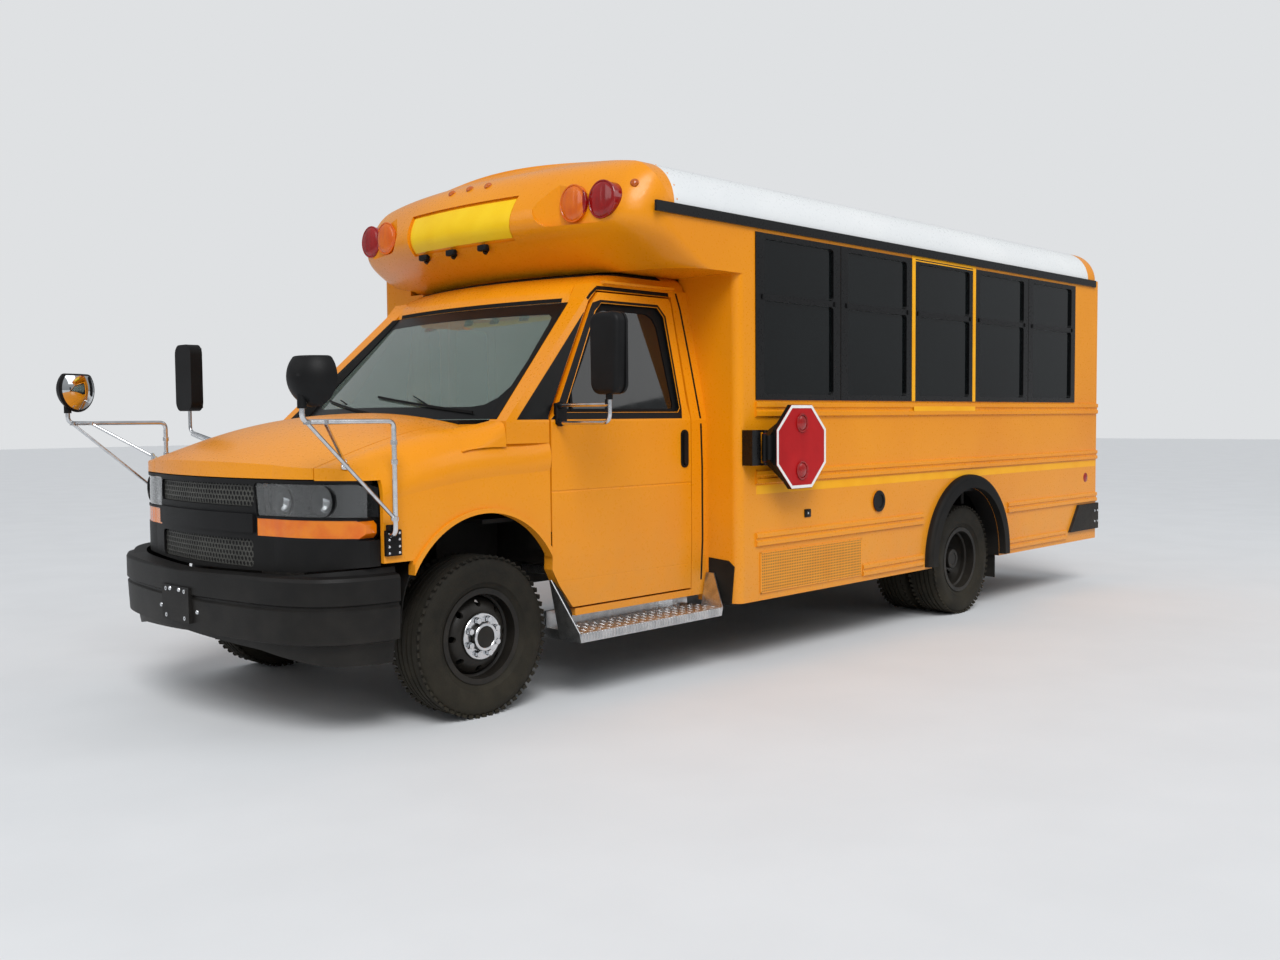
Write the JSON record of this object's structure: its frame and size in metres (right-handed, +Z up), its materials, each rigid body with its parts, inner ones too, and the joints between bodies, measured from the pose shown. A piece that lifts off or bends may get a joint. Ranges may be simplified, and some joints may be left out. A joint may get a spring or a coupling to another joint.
{
  "type": "short school bus",
  "caption": "Short school bus: yellow passenger body on a cutaway van chassis, with twin rear wheels, opening doors, a lifting hood and a swinging stop arm.",
  "frame": {"origin": "on the ground under the middle of the bus", "axes": "+X forward, +Y to the bus's left, +Z up"},
  "size_m": [7.2578, 2.89, 2.75],
  "materials": {
    "yellow": "gloss school-bus yellow",
    "white_roof": "gloss white",
    "black_paint": "black",
    "chassis_black": "satin black",
    "black_plastic": "moulded grain",
    "black_rubber": "matt",
    "tyre": "matt",
    "wheel_steel": "black powder coat",
    "stainless": "brushed",
    "tread_plate": "rolled tread",
    "cast": "rough",
    "alu_frame": "black anodised",
    "dark_glass": "tinted",
    "clear_glass": "clear",
    "lamp_clear": "clear lens",
    "lamp_red": "ribbed lens",
    "lamp_amber": "ribbed lens",
    "grey_trim": "grained",
    "seat_vinyl": "vinyl",
    "floor_rubber": "ribbed",
    "sign_red": "reflective sheet"
  },
  "bodies": {
    "bus": {"chassis_frame": "chassis_black", "engine_block": "cast", "front_axle": "cast", "rear_axle": "cast", "exhaust": "stainless", "fuel_tank": "chassis_black", "cab_floor": "chassis_black", "bus_floor": "floor_rubber", "fenders": "yellow", "cowl_panel": "black_plastic", "front_fascia": "black_plastic", "headlamps": "lamp_clear", "front_bumper": "black_plastic", "cab_sides": "yellow", "cab_roof": "yellow", "windshield": "clear_glass", "front_cap": "yellow", "roof": "white_roof", "rear_cap": "yellow", "body_sides": "yellow", "end_walls": "yellow", "rub_rails": "yellow", "drip_rails": "black_paint", "window_frames": "alu_frame", "body_glass": "dark_glass", "rear_flares": "black_rubber", "running_board": "tread_plate", "splash_guards": "black_rubber", "mirror_tubes": "stainless", "mirror_heads": "black_plastic", "warning_lamps": "lamp_red", "signal_lamps": "lamp_amber", "rear_bumper": "chassis_black", "driver_seat": "seat_vinyl", "dashboard": "grey_trim", "passenger_seats": "seat_vinyl", "stop_arm_box": "black_paint"},
    "driver_door": {"driver_door": "yellow", "driver_door_glass": "clear_glass", "driver_mirror": "black_plastic"},
    "entry_front": {"entry_leaf_front": "yellow", "entry_glass_front": "clear_glass"},
    "entry_rear": {"entry_leaf_rear": "yellow", "entry_glass_rear": "clear_glass"},
    "exit_door": {"exit_door": "yellow", "exit_door_glass": "clear_glass"},
    "hood": {"hood": "yellow"},
    "stop_arm": {"stop_sign": "sign_red"},
    "steering_wheel": {"steering_wheel": "black_plastic"},
    "knuckle_left": {"knuckle_left": "cast"},
    "knuckle_right": {"knuckle_right": "cast"},
    "front_wheel_left": {"tyre_front_left": "tyre", "wheel_front_left": "wheel_steel"},
    "front_wheel_right": {"tyre_front_right": "tyre", "wheel_front_right": "wheel_steel"},
    "rear_wheels_left": {"tyres_rear_left": "tyre", "wheels_rear_left": "wheel_steel"},
    "rear_wheels_right": {"tyres_rear_right": "tyre", "wheels_rear_right": "wheel_steel"}
  },
  "joints": [
    {"name": "steer_left", "type": "hinge", "parent": "bus", "child": "knuckle_left", "pos_m": [2.542, 0.8, 0.372], "axis": [0, 0, 1], "range_deg": [-32, 32]},
    {"name": "steer_right", "type": "hinge", "parent": "bus", "child": "knuckle_right", "pos_m": [2.542, -0.8, 0.372], "axis": [0, 0, 1], "range_deg": [-32, 32]},
    {"name": "steering_wheel_turn", "type": "hinge", "parent": "bus", "child": "steering_wheel", "pos_m": [1.902, 0.48, 1.16], "axis": [-0.9363, 0, 0.3511], "range_deg": [-544, 544]},
    {"name": "wheel_spin_front_left", "type": "hinge", "parent": "knuckle_left", "child": "front_wheel_left", "pos_m": [2.542, 0.873, 0.372], "axis": [0, 1, 0], "continuous": true},
    {"name": "wheel_spin_front_right", "type": "hinge", "parent": "knuckle_right", "child": "front_wheel_right", "pos_m": [2.542, -0.873, 0.372], "axis": [0, 1, 0], "continuous": true},
    {"name": "wheel_spin_rear_left", "type": "hinge", "parent": "bus", "child": "rear_wheels_left", "pos_m": [-1.497, 0.947, 0.372], "axis": [0, 1, 0], "continuous": true},
    {"name": "wheel_spin_rear_right", "type": "hinge", "parent": "bus", "child": "rear_wheels_right", "pos_m": [-1.497, -0.947, 0.372], "axis": [0, 1, 0], "continuous": true},
    {"name": "driver_door_swing", "type": "hinge", "parent": "bus", "child": "driver_door", "pos_m": [2.112, 0.988, 0.9], "axis": [0, 0, -1], "range_deg": [0, 67]},
    {"name": "entry_front_swing", "type": "hinge", "parent": "bus", "child": "entry_front", "pos_m": [1.459, -1.23, 1.2], "axis": [0, 0, 1], "range_deg": [0, 88]},
    {"name": "entry_rear_swing", "type": "hinge", "parent": "bus", "child": "entry_rear", "pos_m": [0.665, -1.23, 1.2], "axis": [0, 0, -1], "range_deg": [0, 88]},
    {"name": "exit_door_swing", "type": "hinge", "parent": "bus", "child": "exit_door", "pos_m": [-3.632, -0.458, 1.4], "axis": [0, 0, 1], "range_deg": [0, 110]},
    {"name": "hood_lift", "type": "hinge", "parent": "bus", "child": "hood", "pos_m": [2.5, 0, 1.35], "axis": [0, -1, 0], "range_deg": [0, 38]},
    {"name": "stop_arm_swing", "type": "hinge", "parent": "bus", "child": "stop_arm", "pos_m": [0.874, 1.3, 1.2], "axis": [0, 0, -1], "range_deg": [0, 90]}
  ],
  "couplings": [
    {"joint": "steer_right", "follows": "steer_left", "ratio": 1},
    {"joint": "steering_wheel_turn", "follows": "steer_left", "ratio": 17},
    {"joint": "entry_rear_swing", "follows": "entry_front_swing", "ratio": 1}
  ]
}
